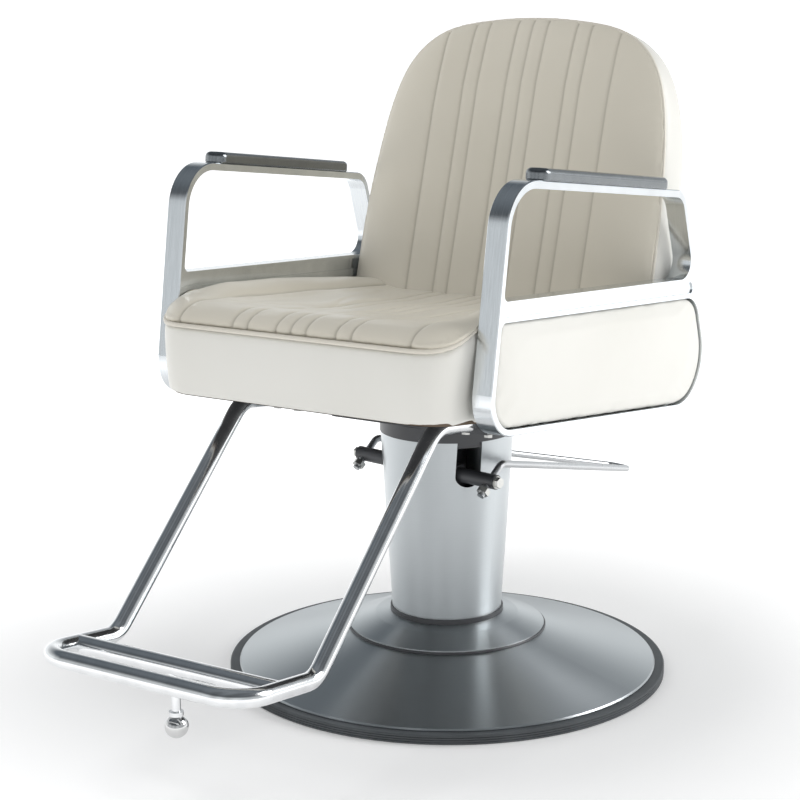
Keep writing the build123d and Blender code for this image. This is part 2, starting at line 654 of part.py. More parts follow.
def rail_channel():
    """Round-ended recess along the middle rail."""
    foot, rear, top, front = arm_sides()
    low = shifted(line_through(*RAIL_FOOT_LINE), 6)
    high = shifted(line_through(*RAIL_TOP_LINE), -5)
    front_in = shifted(front, ARM_BAND_T - 2)
    rear_in = shifted(rear, ARM_BAND_T + 8)
    return window([(meet(front_in, low), 4), (meet(rear_in, low), 6), (meet(rear_in, high), 6),
                   (meet(front_in, high), 4)])


def in_arm(shape):
    """Moves a piece drawn with the chair's y and z into the arm's splayed frame."""
    return ARM_PLACE * Pos(0, -ARM_PIVOT_Y, 0) * shape


def pad_place():
    """Frame of the arm pad: its origin on the top bar, its X along the bar to the rear."""
    top = arm_sides()[2]
    start, way = top
    slope = way.Y / way.X
    middle_y = (PAD_FRONT_Y + PAD_REAR_Y) / 2
    middle_z = start.Y + slope * (middle_y - start.X)
    return Pos(ARM_BAND_W / 2, middle_y, middle_z) * Rot(X=degrees(atan(slope))) * Rot(Z=90), slope


def arm_pieces():
    arm = yz_solid(arm_face(), 0, ARM_BAND_W)
    arm = chamfer(arm.edges().group_by(Axis.X)[-1] + arm.edges().group_by(Axis.X)[0], 1.2)
    arm -= yz_solid(upper_window(), -1, ARM_BAND_W + 1)
    arm -= yz_solid(lower_window(), WEB_T, ARM_BAND_W + 1)
    arm -= yz_solid(rail_channel(), ARM_BAND_W - CHANNEL_DEPTH, ARM_BAND_W + 1)
    arm -= yz_solid(rail_channel(), -1, CHANNEL_DEPTH)
    panel = yz_solid(lower_window(0.6), WEB_T + PANEL_BOARD_T, ARM_BAND_W - 1)
    panel = fillet(panel.edges().group_by(Axis.X)[-1], 5)
    board = yz_solid(lower_window(1.5), WEB_T, WEB_T + PANEL_BOARD_T)
    bolts = []
    for y in ARM_BOLT_YS:
        place = Pos(WEB_T, y, seat_bottom_z(y) + ARM_BOLT_RISE) * Rot(Y=-90)
        bolts.append(place * hex_screw(4, 4 + 36, 13, 5))
        arm -= place * rod(4 + HOLE_FIT, -1, WEB_T + 1)
        board -= place * rod(9, -PANEL_BOARD_T, 0)
    place, slope = pad_place()
    length = (PAD_REAR_Y - PAD_FRONT_Y) * (1 + slope * slope) ** 0.5
    pad = extrude(SlotOverall(length, PAD_W), PAD_T)
    pad = fillet(pad.edges().group_by(Axis.Z)[-1], PAD_ROUND)
    pad = chamfer(pad.edges().group_by(Axis.Z)[0], 1.5)
    pad_screws = []
    for along in (-90, 90):
        spot = Pos(along, 0, -ARM_TOP_T)
        pad_screws.append(place * spot * (rod(2.5, 0.5, ARM_TOP_T + 7) + rod(4.5, 0.5, 3)))
        arm -= place * spot * (rod(2.5 + HOLE_FIT, -1, ARM_TOP_T + 1) + rod(4.5 + HOLE_FIT, -1, 3))
        pad -= spot * rod(2.5 + HOLE_FIT, ARM_TOP_T - 1, ARM_TOP_T + 7.2)
    pad = place * pad
    for side, name in ((1, "left"), (-1, "right")):
        for stem, shape in (("arm", arm), ("arm_pad", pad), ("side_panel", panel), ("panel_board", board)):
            placed = in_arm(shape)
            keep(f"{stem}_{name}", placed if side > 0 else mirror(placed, Plane.YZ))
    keep("arm_bolts", group([part for bolt in bolts for part in both_sides(in_arm(bolt))]))
    keep("arm_pad_screws", group([part for screw in pad_screws for part in both_sides(in_arm(screw))]))


# ---- Footrest ------------------------------------------------------------------------------
def tread_z(y):
    """Height of the tread's tubes, which rise a little to the front."""
    return KNEE[1] + TREAD_RISE * (KNEE[0] - y)


def footrest_pieces():
    drop = DUST_H + FOOT_TUBE_R
    rear_y = -10.0
    side = [
        (Vector(FOOT_HALF_W, rear_y, seat_bottom_z(rear_y, drop)), 0),
        (Vector(FOOT_HALF_W, LEG_TOP[0], seat_bottom_z(LEG_TOP[0], drop)), 45),
        (Vector(FOOT_HALF_W, *KNEE), 34),
        (Vector(FOOT_HALF_W, TREAD_FRONT_Y, tread_z(TREAD_FRONT_Y)), 44)]
    path = side + [(mirrored(point), radius) for point, radius in reversed(side)]
    wire = Wire(rounded_edges(path))
    start = Plane(origin=side[0][0], z_dir=side[1][0] - side[0][0])
    outside = sweep(start * Circle(FOOT_TUBE_R), path=wire)
    inside = sweep(start * Circle(FOOT_TUBE_R - TUBE_WALL), path=wire)
    keep("footrest_frame", outside - inside)
    bar_z = tread_z(REAR_BAR_Y)
    bar = Pos(0, REAR_BAR_Y, bar_z) * rod_x(FOOT_TUBE_R, -FOOT_HALF_W, FOOT_HALF_W) - outside
    keep("footrest_bar", max(bar.solids(), key=lambda solid: solid.volume))
    stem = rod(STEM_R, BALL_Z + BALL_R - 4, bar_z) + rod(9, bar_z - FOOT_TUBE_R - 4, bar_z)
    stem += rod(8.5, BALL_Z + BALL_R - 0.5, BALL_Z + BALL_R + 4.5)
    stem = Pos(0, REAR_BAR_Y, 0) * stem - bar
    ball = Pos(0, REAR_BAR_Y, BALL_Z) * Sphere(BALL_R)
    stem = max(stem.solids(), key=lambda solid: solid.volume)
    keep("ball_stem", stem)
    keep("ball", ball - stem)

    clamps = []
    screws = []
    clamp_h = 2 * FOOT_TUBE_R + 3
    for y in (-165.0, -40.0):
        for sign in (-1, 1):
            place = Pos(sign * FOOT_HALF_W, y, seat_bottom_z(y, DUST_H)) * Rot(X=-SEAT_ANGLE)
            channel_r = FOOT_TUBE_R + HOLE_FIT
            channel = Pos(0, 0, -FOOT_TUBE_R) * (
                Rot(X=90) * Cylinder(channel_r, 40) + Pos(0, 0, channel_r) * Box(2 * channel_r, 40, 2 * channel_r))
            clamp = place * (Pos(0, 0, -clamp_h / 2) * Box(44, 26, clamp_h) - channel)
            for reach in (-16.5, 16.5):
                spot = place * Pos(reach, 0, -clamp_h)
                drill = spot * rod(3 + HOLE_FIT, -1, clamp_h + DUST_H + BOARD_H - 3)
                screws.append(spot * hex_screw(3, clamp_h + DUST_H + BOARD_H - 4, 10, 4))
                clamp -= drill
                NODES["seat_board"] -= drill
                NODES["dust_cover"] -= drill
            clamps.append(clamp)
    keep("footrest_clamps", group(clamps))
    keep("clamp_screws", group(screws))


base_pieces()
column_pieces()
pump_pieces()
lift_pieces()
lever_pieces()
seat_pieces(carrier_pieces())
back_pieces()
arm_pieces()
footrest_pieces()
os.makedirs("parts", exist_ok=True)
for node, shape in NODES.items():
    export_step(shape, f"parts/{node}.step")
    print(node, len(shape.solids()), round(shape.volume / 1000, 1), "cm3")
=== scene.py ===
import bmesh
import bpy
import json
import math
from math import pi, radians
from mathutils import Matrix, Vector
from mathutils.bvhtree import BVHTree
from mathutils.kdtree import KDTree


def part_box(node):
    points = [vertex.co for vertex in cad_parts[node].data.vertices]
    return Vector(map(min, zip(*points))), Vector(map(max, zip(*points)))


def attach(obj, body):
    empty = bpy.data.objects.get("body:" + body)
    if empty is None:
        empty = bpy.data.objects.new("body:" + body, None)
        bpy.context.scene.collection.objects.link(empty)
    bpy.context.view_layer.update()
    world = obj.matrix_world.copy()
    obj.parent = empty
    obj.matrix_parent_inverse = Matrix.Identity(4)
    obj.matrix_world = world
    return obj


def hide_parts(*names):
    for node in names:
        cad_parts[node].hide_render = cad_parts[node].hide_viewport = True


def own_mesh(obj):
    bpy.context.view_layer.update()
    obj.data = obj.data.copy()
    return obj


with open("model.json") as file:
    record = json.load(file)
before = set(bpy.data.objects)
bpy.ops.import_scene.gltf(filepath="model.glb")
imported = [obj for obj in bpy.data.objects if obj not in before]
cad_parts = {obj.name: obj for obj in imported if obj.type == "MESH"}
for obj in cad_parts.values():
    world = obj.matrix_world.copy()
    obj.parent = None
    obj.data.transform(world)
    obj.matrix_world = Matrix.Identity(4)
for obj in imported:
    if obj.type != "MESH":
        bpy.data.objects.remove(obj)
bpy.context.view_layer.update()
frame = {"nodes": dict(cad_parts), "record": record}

# %% [markdown]
# ## The bench that builds finishes
# A finish is a network of shader nodes. Wiring it by hand hides the thought behind it, so a small
# class wraps each output and lets plain arithmetic add the Math nodes. Any other node comes from
# one method that takes its type, its settings and what goes into its sockets.
# %% The bench that builds finishes


class Signal:
    """One node output that can be used in arithmetic."""

    def __init__(self, finish, socket):
        self.finish, self.socket = finish, socket

    def math(self, operation, *others):
        return self.finish.node("ShaderNodeMath", {"operation": operation}, dict(enumerate((self, *others))))

    def __add__(self, other):
        return self.math("ADD", other)

    def __mul__(self, other):
        return self.math("MULTIPLY", other)

    def __sub__(self, other):
        return self.math("SUBTRACT", other)

    def __rsub__(self, other):
        return self.finish.node("ShaderNodeMath", {"operation": "SUBTRACT"}, {0: other, 1: self})

    def __pow__(self, other):
        return self.math("POWER", other)

    __radd__, __rmul__ = __add__, __mul__


class Finish:
    """A material built from named nodes around one Principled shader."""

    def __init__(self, name, **uniform):
        self.material = bpy.data.materials.new(name)
        self.material.use_nodes = True
        self.tree = self.material.node_tree
        self.shader = self.tree.nodes["Principled BSDF"]
        for socket, value in uniform.items():
            self.shader.inputs[socket.replace("_", " ")].default_value = value
        self.place = self.node("ShaderNodeTexCoord", output="Object")

    def node(self, kind, settings=None, inputs=None, output=0):
        made = self.tree.nodes.new(kind)
        for key, value in (settings or {}).items():
            if key == "stops":
                while len(made.color_ramp.elements) < len(value):
                    made.color_ramp.elements.new(1.0)
                for element, (at, colour) in zip(made.color_ramp.elements, value):
                    element.position, element.color = at, colour
            else:
                setattr(made, key, value)
        for key, value in (inputs or {}).items():
            self.feed(made.inputs[key], value)
        return Signal(self, made.outputs[output])

    def feed(self, socket, value):
        if isinstance(value, Signal):
            self.tree.links.new(value.socket, socket)
        else:
            socket.default_value = value

    def noise(self, scale, detail=3.0, stretch=None, **more):
        where = self.place
        if stretch:
            where = self.node("ShaderNodeMapping", inputs={"Vector": where, "Scale": stretch})
        inputs = {"Vector": where, "Scale": scale, "Detail": detail, **more}
        return self.node("ShaderNodeTexNoise", inputs=inputs)

    def ramp(self, signal, *stops):
        grey = [(at, (v, v, v, 1) if isinstance(v, (int, float)) else (*v, 1)) for at, v in stops]
        return self.node("ShaderNodeValToRGB", {"stops": grey}, {"Fac": signal})

    def mix(self, share, one, two):
        one, two = [(*c, 1) if isinstance(c, tuple) and len(c) == 3 else c for c in (one, two)]
        return self.node("ShaderNodeMix", {"data_type": "RGBA"}, {0: share, 6: one, 7: two}, output=2)

    def set(self, **links):
        for socket, signal in links.items():
            self.feed(self.shader.inputs[socket.replace("_", " ")], signal)
        return self

    def bump(self, height, strength, distance, below=None):
        inputs = {"Height": height, "Strength": strength, "Distance": distance}
        if below:
            inputs["Normal"] = below
        return self.node("ShaderNodeBump", inputs=inputs)


print("bench ready")

# %% [markdown]
# ## Metal finishes
# Brushed metal is a mirror broken up by thousands of fine parallel scratches. They only have to
# show as a change in roughness and a shallow bump, stretched along the direction of the tool.
# On the spun base that direction runs round the axis, so the pattern is read from the distance to
# the axis, and on the arms and tubes it runs along the bar.
# %% Metal finishes


def spun_steel(name, colour, roughness, height_weight):
    """Steel brushed round the upright axis; height_weight mixes height into the scratch rings."""
    f = Finish(name, Metallic=1.0, Anisotropic=0.85, Anisotropic_Rotation=0.25)
    split = f.tree.nodes.new("ShaderNodeSeparateXYZ")
    f.feed(split.inputs[0], f.place)
    x, y, z = [Signal(f, out) for out in split.outputs]
    radius = (x * x + y * y) ** 0.5
    ring = radius + z * height_weight
    rings = f.node("ShaderNodeCombineXYZ", inputs={0: ring * 900.0, 1: 0.0, 2: 0.0})
    fine = f.node("ShaderNodeTexNoise", inputs={"Vector": rings, "Scale": 1.0, "Detail": 4.0})
    broad = f.noise(6.0, 2.0)
    shade = f.ramp(fine, (0.3, 0.86), (0.7, 1.0))
    tone = f.mix(0.55, shade, (1, 1, 1))
    base = f.node("ShaderNodeMix", {"data_type": "RGBA", "blend_type": "MULTIPLY"},
                  {0: 1.0, 6: (*colour, 1), 7: tone}, output=2)
    f.set(Base_Color=base, Roughness=fine * 0.16 + broad * 0.08 + (roughness - 0.12))
    return f.set(Normal=f.bump(fine, 0.25, 0.00025)).material


def drawn_metal(name, colour, roughness, stretch, scratch=0.12):
    """Metal brushed along one direction, with the soft cloudiness of a polished bar."""
    f = Finish(name, Metallic=1.0)
    fine = f.noise(1.0, 4.0, stretch=stretch)
    broad = f.noise(9.0, 2.0)
    tint = tuple(c * 0.9 for c in colour)
    f.set(Base_Color=f.mix(f.ramp(fine, (0.3, 0.0), (0.7, 1.0)), tint, colour))
    f.set(Roughness=fine * scratch + broad * 0.1 + (roughness - 0.1))
    return f.set(Normal=f.bump(fine, 0.15, 0.0002)).material


def painted(name, colour, roughness, grain=0.0004):
    """Satin paint with a faint orange peel and a lighter, rubbed tone."""
    f = Finish(name, Coat_Roughness=0.2)
    peel = f.noise(420.0, 2.0)
    cloud = f.noise(14.0, 3.0)
    worn = tuple(min(1.0, c * 1.5 + 0.01) for c in colour)
    f.set(Base_Color=f.mix(f.ramp(cloud, (0.45, 0.0), (0.8, 1.0)), colour, worn))
    f.set(Roughness=cloud * 0.15 + (roughness - 0.07), Coat_Weight=0.15)
    return f.set(Normal=f.bump(peel, 0.2, grain)).material


FINISHES = {
    "brushed_stainless": spun_steel("brushed_stainless", (0.55, 0.58, 0.595), 0.34, 1.0),
    "satin_steel": drawn_metal("satin_steel", (0.55, 0.56, 0.57), 0.28, (40, 40, 900)),
    "zinc_fastener": drawn_metal("zinc_fastener", (0.60, 0.60, 0.58), 0.34, (500, 500, 500)),
    "polished_aluminium": drawn_metal("polished_aluminium", (0.75, 0.78, 0.80), 0.17, (700, 30, 30)),
    "chrome": drawn_metal("chrome", (0.79, 0.80, 0.81), 0.17, (60, 60, 60), 0.06),
    "ball_steel": drawn_metal("ball_steel", (0.62, 0.62, 0.62), 0.16, (90, 90, 90), 0.05),
    "dark_paint": painted("dark_paint", (0.045, 0.047, 0.052), 0.42),
    "cast_housing": painted("cast_housing", (0.09, 0.09, 0.10), 0.55, 0.0008),
    "rubber": painted("rubber", (0.07, 0.078, 0.084), 0.62),
    "arm_pad_plastic": drawn_metal("arm_pad_plastic", (0.24, 0.255, 0.265), 0.22, (60, 60, 60), 0.06),
}
print("metal finishes", len(FINISHES))

# %% [markdown]
# ## Plywood and lining cloth
# The boards under the foam are plywood: wide wavy grain seen flat on. The dust cover is black
# non-woven cloth, a fine random felt.
# %% Plywood and lining cloth


def plywood():
    f = Finish("plywood")
    grain = f.noise(3.0, 5.0, stretch=(30, 3, 30), Distortion=0.6)
    f.set(Base_Color=f.mix(grain, (0.10, 0.07, 0.045), (0.17, 0.12, 0.08)), Roughness=grain * 0.2 + 0.5)
    return f.set(Normal=f.bump(grain, 0.3, 0.0004)).material


def lining_cloth():
    f = Finish("underlay_cloth", Sheen_Weight=0.2)
    felt = f.noise(900.0, 4.0)
    f.set(Base_Color=f.mix(felt, (0.008, 0.008, 0.009), (0.03, 0.03, 0.032)), Roughness=felt * 0.2 + 0.75)
    return f.set(Normal=f.bump(felt, 0.6, 0.0005)).material


FINISHES["plywood"] = plywood()
FINISHES["underlay_cloth"] = lining_cloth()

# %% [markdown]
# ## Vinyl
# The cover is smooth satin vinyl. Its surface carries a very fine pebble grain and soft wide
# ripples where it is pulled over foam. A stitched piece carries a "seam" attribute, one in
# the bottom of a seam and nought away from it, which lets the finish roughen the stitched
# lines a little and darken them with painted shade in the grooves.
# %% Vinyl


def vinyl(name, light, deep, roughness, stitched):
    f = Finish(name, Sheen_Weight=0.12, Sheen_Roughness=0.4, Specular_IOR_Level=0.5)
    pebble = f.node("ShaderNodeTexVoronoi", inputs={"Vector": f.place, "Scale": 900.0})
    cloud = f.noise(5.0, 3.0)
    ripple = f.noise(22.0, 2.0)
    colour = f.mix(f.ramp(cloud, (0.35, 0.0), (0.75, 1.0)), light, deep)
    if stitched:
        seam = f.node("ShaderNodeAttribute", {"attribute_name": "seam"}, output="Fac")
        # painted shade: the colour is darkened along the seam grooves
        colour = f.mix(seam * 0.55, colour, tuple(c * 0.62 for c in deep))
        f.set(Roughness=cloud * 0.12 + seam * 0.15 + (roughness - 0.06))
    else:
        f.set(Roughness=cloud * 0.12 + (roughness - 0.06))
    fine = f.bump(pebble, 0.12, 0.0003)
    f.set(Base_Color=colour, Coat_Weight=0.06, Normal=f.bump(ripple, 0.12, 0.002, below=fine))
    return f.material


FINISHES["ivory_vinyl"] = vinyl("ivory_vinyl", (0.755, 0.745, 0.70), (0.72, 0.71, 0.66), 0.40, False)
FINISHES["channel_vinyl"] = vinyl("channel_vinyl", (0.71, 0.67, 0.575), (0.67, 0.63, 0.535), 0.36, True)
FINISHES["piping_vinyl"] = vinyl("piping_vinyl", (0.72, 0.68, 0.60), (0.66, 0.62, 0.54), 0.38, False)

slots = {part["node"]: part["material_slot"] for part in frame["record"]["subparts"]}
for node, piece in frame["nodes"].items():
    piece.data.materials.clear()
    piece.data.materials.append(FINISHES[slots[node]])
print("finishes on CAD nodes", len(slots))

# %% [markdown]
# ## Studio
# The chair stands on pale paper that glows a little more with distance, so it fades into white.
# One big soft light stands behind the chair's left arm, so the side panels are the brightest
# faces and the fronts fall into soft shade. Two weaker lights lift the back and the far side.
# Metal shows what is around it, so reflected rays meet a room of their own: a pale wall low
# behind the chair, a striped wall before it and a dark ceiling. The background stays white.
# %% Studio
scene = bpy.context.scene
ground = bpy.data.meshes.new("floor")
FLOOR_REACH = 60.0
sheet = bmesh.new()
bmesh.ops.create_grid(sheet, x_segments=1, y_segments=1, size=FLOOR_REACH)
sheet.to_mesh(ground)
sheet.free()
floor = bpy.data.objects.new("floor", ground)
scene.collection.objects.link(floor)
paper = Finish("floor_paper", Emission_Strength=1.0)
tone = paper.noise(2.0, 2.0)
paper.set(Base_Color=paper.mix(tone, (0.86, 0.86, 0.86), (0.90, 0.90, 0.90)), Roughness=tone * 0.1 + 0.55)
far = paper.node("ShaderNodeVectorMath", {"operation": "LENGTH"}, {0: paper.place}, output="Value")
paper.set(Emission_Color=paper.ramp(far * 0.2, (0.08, 0.15), (0.24, 0.8)))
ground.materials.append(paper.material)

world = bpy.data.worlds.new("studio")
scene.world = world
world.use_nodes = True


class Sky(Finish):
    """The room around the chair, built on the same bench."""

    def __init__(self, tree):
        self.tree = tree


sky = Sky(world.node_tree)
towards = sky.node("ShaderNodeTexCoord", output="Generated")
across, depth, rise = [sky.node("ShaderNodeSeparateXYZ", inputs={0: towards}, output=axis) for axis in "XYZ"]
rise = rise * 0.5 + 0.5
backdrop = sky.ramp(rise, (0.50, (0.74, 0.76, 0.78)), (0.53, (1.24, 1.27, 1.28)), (0.80, (0.10, 0.12, 0.14)),
                    (1.0, (0.22, 0.24, 0.26)))
near_wall = sky.ramp(rise, (0.0, (0.85, 0.88, 0.90)), (0.64, (0.80, 0.83, 0.85)), (0.76, (0.10, 0.11, 0.12)),
                     (1.0, (0.22, 0.24, 0.26)))
behind = sky.ramp(depth * 0.42 - across * 0.27 + 0.5, (0.40, 0.0), (0.58, 1.0))
panels = (across * 11.0).math("SINE") * 0.16 + 0.84
near_wall = sky.mix(panels, (0.0, 0.0, 0.0), near_wall)
room = sky.mix(behind, near_wall, backdrop)
path = {name: sky.node("ShaderNodeLightPath", output=name) for name in ("Is Camera Ray", "Is Glossy Ray")}
shade = sky.mix(path["Is Glossy Ray"], (0.40, 0.405, 0.41), room)
shade = sky.mix(path["Is Camera Ray"], shade, (1.1, 1.1, 1.1))
sky.feed(world.node_tree.nodes["Background"].inputs[0], shade)


def soft_light(name, at, aim, size, power):
    """Square area light that looks at a point. Only the key light shows in the metal."""
    lamp = bpy.data.lights.new(name, "AREA")
    lamp.size, lamp.energy = size, power
    holder = bpy.data.objects.new(name, lamp)
    scene.collection.objects.link(holder)
    holder.location = at
    holder.rotation_euler = (Vector(aim) - Vector(at)).to_track_quat("-Z", "Y").to_euler()
    holder.visible_glossy = name == "key"


soft_light("key", (3.5, 2.5, 2.6), (0, 0, 0.5), 2.6, 118)
soft_light("top", (-0.5, -2.6, 4.0), (0, 0.2, 0.9), 1.8, 36)
soft_light("fill", (-3.6, 0.6, 3.4), (0, 0, 0.4), 2.4, 40)

camera = bpy.data.cameras.new("camera")
camera.sensor_width = 36.0
camera.lens = 85.5
seen_from = bpy.data.objects.new("camera", camera)
scene.collection.objects.link(seen_from)
seen_from.location = (1.3433, -2.1792, 0.9193)
heading, down, roll = radians(33.10), radians(11.87), radians(-0.22)
turn = (Matrix.Rotation(heading, 3, "Z") @ Matrix.Rotation(pi / 2 - down, 3, "X")
        @ Matrix.Rotation(roll, 3, "Z"))
seen_from.rotation_euler = turn.to_euler()
scene.camera = seen_from
scene.view_settings.view_transform = "Standard"
print("studio ready")

# %% [markdown]
# ## Where the cushions lie
# The seat leans back and so does the back, so each cushion is easier to shape in its own frame:
# across, along and out from the board under it. Two matrices carry points there and home again.
# %% Frames of the cushions
seat_low, seat_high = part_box("seat_body")
APRON = 0.088
SEAT_PLACE = Matrix.Translation((0, -0.377, 0.436)) @ Matrix.Rotation(-0.11519, 4, "X")
BACK_PLACE = Matrix.Translation((0, 0.1425, 0.600)) @ Matrix.Rotation(radians(-16.1), 4, "X")
print("seat body", [round(v, 3) for v in seat_low], [round(v, 3) for v in seat_high])


def ease(value, start, end):
    """Rises smoothly from nought at start to one at end."""
    share = min(1.0, max(0.0, (value - start) / (end - start)))
    return share * share * (3 - 2 * share)


def along(value, stops):
    """A height that flows smoothly through (place, height) stops."""
    for (a, low), (b, high) in zip(stops, stops[1:]):
        if value <= b:
            return low + (high - low) * ease(value, a, b)
    return stops[-1][1]


# %% [markdown]
# ## From CAD block to foam
# A cushion starts as a copy of its CAD block. A voxel remesh gives it an even skin of small
# squares, which is what cloth needs, and a little smoothing rounds the cut edges as foam would.
# %% Foam blocks


def foam(node, name, voxel, rounds):
    """Even-skinned copy of a CAD block, with its edges softened."""
    mesh = frame["nodes"][node].data.copy()
    skin = bmesh.new()
    skin.from_mesh(mesh)
    bmesh.ops.remove_doubles(skin, verts=skin.verts, dist=1e-5)
    skin.to_mesh(mesh)
    skin.free()
    piece = bpy.data.objects.new(name, mesh)
    bpy.context.scene.collection.objects.link(piece)
    even = piece.modifiers.new("even", "REMESH")
    even.mode, even.voxel_size = "VOXEL", voxel
    take_shape(piece)
    soften(piece, rounds)
    return piece


def take_shape(piece):
    """Makes the modified shape the piece's own mesh."""
    graph = bpy.context.evaluated_depsgraph_get()
    piece.data = bpy.data.meshes.new_from_object(piece.evaluated_get(graph))
    piece.modifiers.clear()


def soften(piece, rounds):
    skin = bmesh.new()
    skin.from_mesh(piece.data)
    for _ in range(rounds):
        bmesh.ops.smooth_vert(
            skin, verts=skin.verts, factor=0.5, use_axis_x=True, use_axis_y=True, use_axis_z=True)
    skin.to_mesh(piece.data)
    skin.free()


def shape(piece, place, rule):
    """Moves every point by a rule written in the cushion's own frame."""
    home = place.inverted()
    for vertex in piece.data.vertices:
        vertex.co = place @ rule(home @ vertex.co)


def edge_finder(nodes, place, flat):
    """Gives the distance from a point to the welt, looking straight at the cushion."""
    home = place.inverted()
    points = []
    for node in nodes:
        mesh = frame["nodes"][node].data
        for edge in mesh.edges:
            start, end = [home @ mesh.vertices[index].co for index in edge.vertices]
            steps = 1 + int((end - start).length / 0.004)
            points += [flat(start.lerp(end, step / steps)) for step in range(steps + 1)]
    tree = KDTree(len(points))
    for index, point in enumerate(points):
        tree.insert(point, index)
    tree.balance()
    return lambda point: tree.find(flat(point))[2]


print("foam tools ready")

# %% [markdown]
# ## Air under the cover
# A sewn cover is tight at its seams and swells between them. Blender's Cloth does this: the
# seams and the hidden faces are held still, a little air pressure pushes from inside, and after
# twenty frames the result is kept. No point may move further than a cap, so a cushion can't
# grow into its neighbour.
# %% Air under the cover


def inflate(piece, held, pressure, cap):
    """Lets air swell the cover between the held points, by no more than the cap."""
    before = [v.co.copy() for v in piece.data.vertices]
    group = piece.vertex_groups.new(name="held")
    group.add(held, 1.0, "REPLACE")
    cloth = piece.modifiers.new("cloth", "CLOTH")
    cloth.settings.vertex_group_mass = "held"
    cloth.settings.quality = 4
    cloth.settings.mass = 0.3
    cloth.settings.tension_stiffness = cloth.settings.compression_stiffness = 25
    cloth.settings.shear_stiffness = 10
    cloth.settings.bending_stiffness = 0.4
    cloth.settings.use_pressure = True
    cloth.settings.uniform_pressure_force = pressure
    cloth.settings.effector_weights.gravity = 0
    cloth.point_cache.frame_start, cloth.point_cache.frame_end = 1, 20
    for step in range(1, 21):
        bpy.context.scene.frame_set(step)
    take_shape(piece)
    bpy.context.scene.frame_set(1)
    grown = 0.0
    for vertex, start in zip(piece.data.vertices, before):
        move = vertex.co - start
        grown = max(grown, move.length)
        if move.length > cap:
            vertex.co = start + move.normalized() * cap
    piece.vertex_groups.clear()
    print(piece.name, "swelled", round(grown * 1000, 1), "mm before the cap")


def refine(piece):
    """One round of subdivision, kept in the mesh."""
    finer = piece.modifiers.new("finer", "SUBSURF")
    finer.levels = finer.render_levels = 1
    take_shape(piece)


# %% [markdown]
# ## Sewing the channels
# A seam is a straight stitched line that pulls the cover down into the foam. Three cuts of the
# mesh along each line, one on it and one on each side, keep the groove crisp, and the middle row
# is pushed in. The depth is stored in the "seam" attribute for the vinyl to read.
# %% Sewing


def sew(piece, place, lines, shows, depth, width=0.0022):
    """Sinks straight seams at the given places across the cushion, where shows(point) is true."""
    skin = bmesh.new()
    skin.from_mesh(piece.data)
    for line in lines:
        for side in (-width, 0.0, width):
            middle = place @ Vector((line + side, 0, 0))
            everything = [*skin.verts, *skin.edges, *skin.faces]
            bmesh.ops.bisect_plane(skin, geom=everything, dist=2e-5, plane_co=middle, plane_no=(1, 0, 0))
    skin.normal_update()
    mark = skin.verts.layers.float.new("seam")
    home = place.inverted()
    for vertex in skin.verts:
        point = home @ vertex.co
        near = min(abs(point.x - line) for line in lines)
        if near < 3 * width and shows(point):
            dip = math.exp(-((near / (0.75 * width)) ** 2))
            wide = math.exp(-((near / (2.6 * width)) ** 2))
            # the seam mask: the vinyl reads it for roughness and for painted shade in the grooves
            vertex[mark] = dip
            vertex.co -= vertex.normal * depth * (0.6 * dip + 0.4 * wide)
    skin.to_mesh(piece.data)
    skin.free()


def cover(piece, slot_name, nodes, body="seat"):
    """Dresses a finished piece, hides the CAD nodes it stands for and sets it on its body."""
    piece.data.materials.clear()
    piece.data.materials.append(FINISHES[slot_name])
    for face in piece.data.polygons:
        face.use_smooth = True
    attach(piece, body)
    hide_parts(*nodes)
    print(piece.name, len(piece.data.polygons), "faces")


# %% [markdown]
# ## Seat cushion
# The front rolls over like a waterfall, the middle is dished, and two bolsters run along the
# arms. Seams in groups of one, two, three, two and one run from front to back. The welt climbs a
# little at the front corners.
# %% Seat cushion
WELT_CLIMB = 0.034
CLIMB_LENGTH = 0.10
ROLL_REACH = 0.046
STITCH_HELD = 0.0028
REAR_HELD = 0.44
SEAT_SEAMS = (-0.172, -0.0884, -0.0658, -0.0223, 0.0, 0.0223, 0.0658, 0.0884, 0.172)
MIDDLE = [(0, 0.115), (0.047, 0.117), (0.13, 0.113), (0.20, 0.113), (0.33, 0.120), (0.50, 0.131)]
BOLSTER = [(0, 0.116), (0.06, 0.126), (0.15, 0.143), (0.26, 0.147), (0.40, 0.146), (0.50, 0.143)]
to_plan = lambda point: (point.x, point.y, 0)
from_welt = edge_finder(["seat_piping"], SEAT_PLACE, to_plan)


def welt_height(point):
    """The welt climbs behind the front corners; away from the edge the apron's top stays level."""
    climb = WELT_CLIMB * ease(point.y, 0.0, CLIMB_LENGTH)
    return APRON + climb * (1 - ease(from_welt(point), 0.008, 0.05))


pad_mesh = frame["nodes"]["seat_pad"].data
home = SEAT_PLACE.inverted()
pad_points = [home @ vertex.co for vertex in pad_mesh.vertices]
pad_tree = BVHTree.FromPolygons(pad_points, [polygon.vertices for polygon in pad_mesh.polygons])


def block_top(point):
    """Thickness of the CAD block under this place."""
    hit = pad_tree.ray_cast(Vector((point.x, point.y, 0.4)), Vector((0, 0, -1)))[0]
    return max(0.002, (hit or point).z - APRON)


def cushion_top(point):
    """Height of the cushion's skin over the board at this place."""
    side = ease(abs(point.x), 0.150, 0.205)
    full = along(point.y, MIDDLE) * (1 - side) + along(point.y, BOLSTER) * side
    near = min(1.0, from_welt(point) / ROLL_REACH)
    roll = math.sqrt(1 - (1 - near) ** 2)
    foot = welt_height(point) + 0.004
    return foot + (full - foot) * roll


def seat_rule(point):
    share = min(1.0, max(0.0, (point.z - APRON) / block_top(point)))
    foot = welt_height(point)
    return Vector((point.x, point.y, foot + share * (cushion_top(point) - foot)))


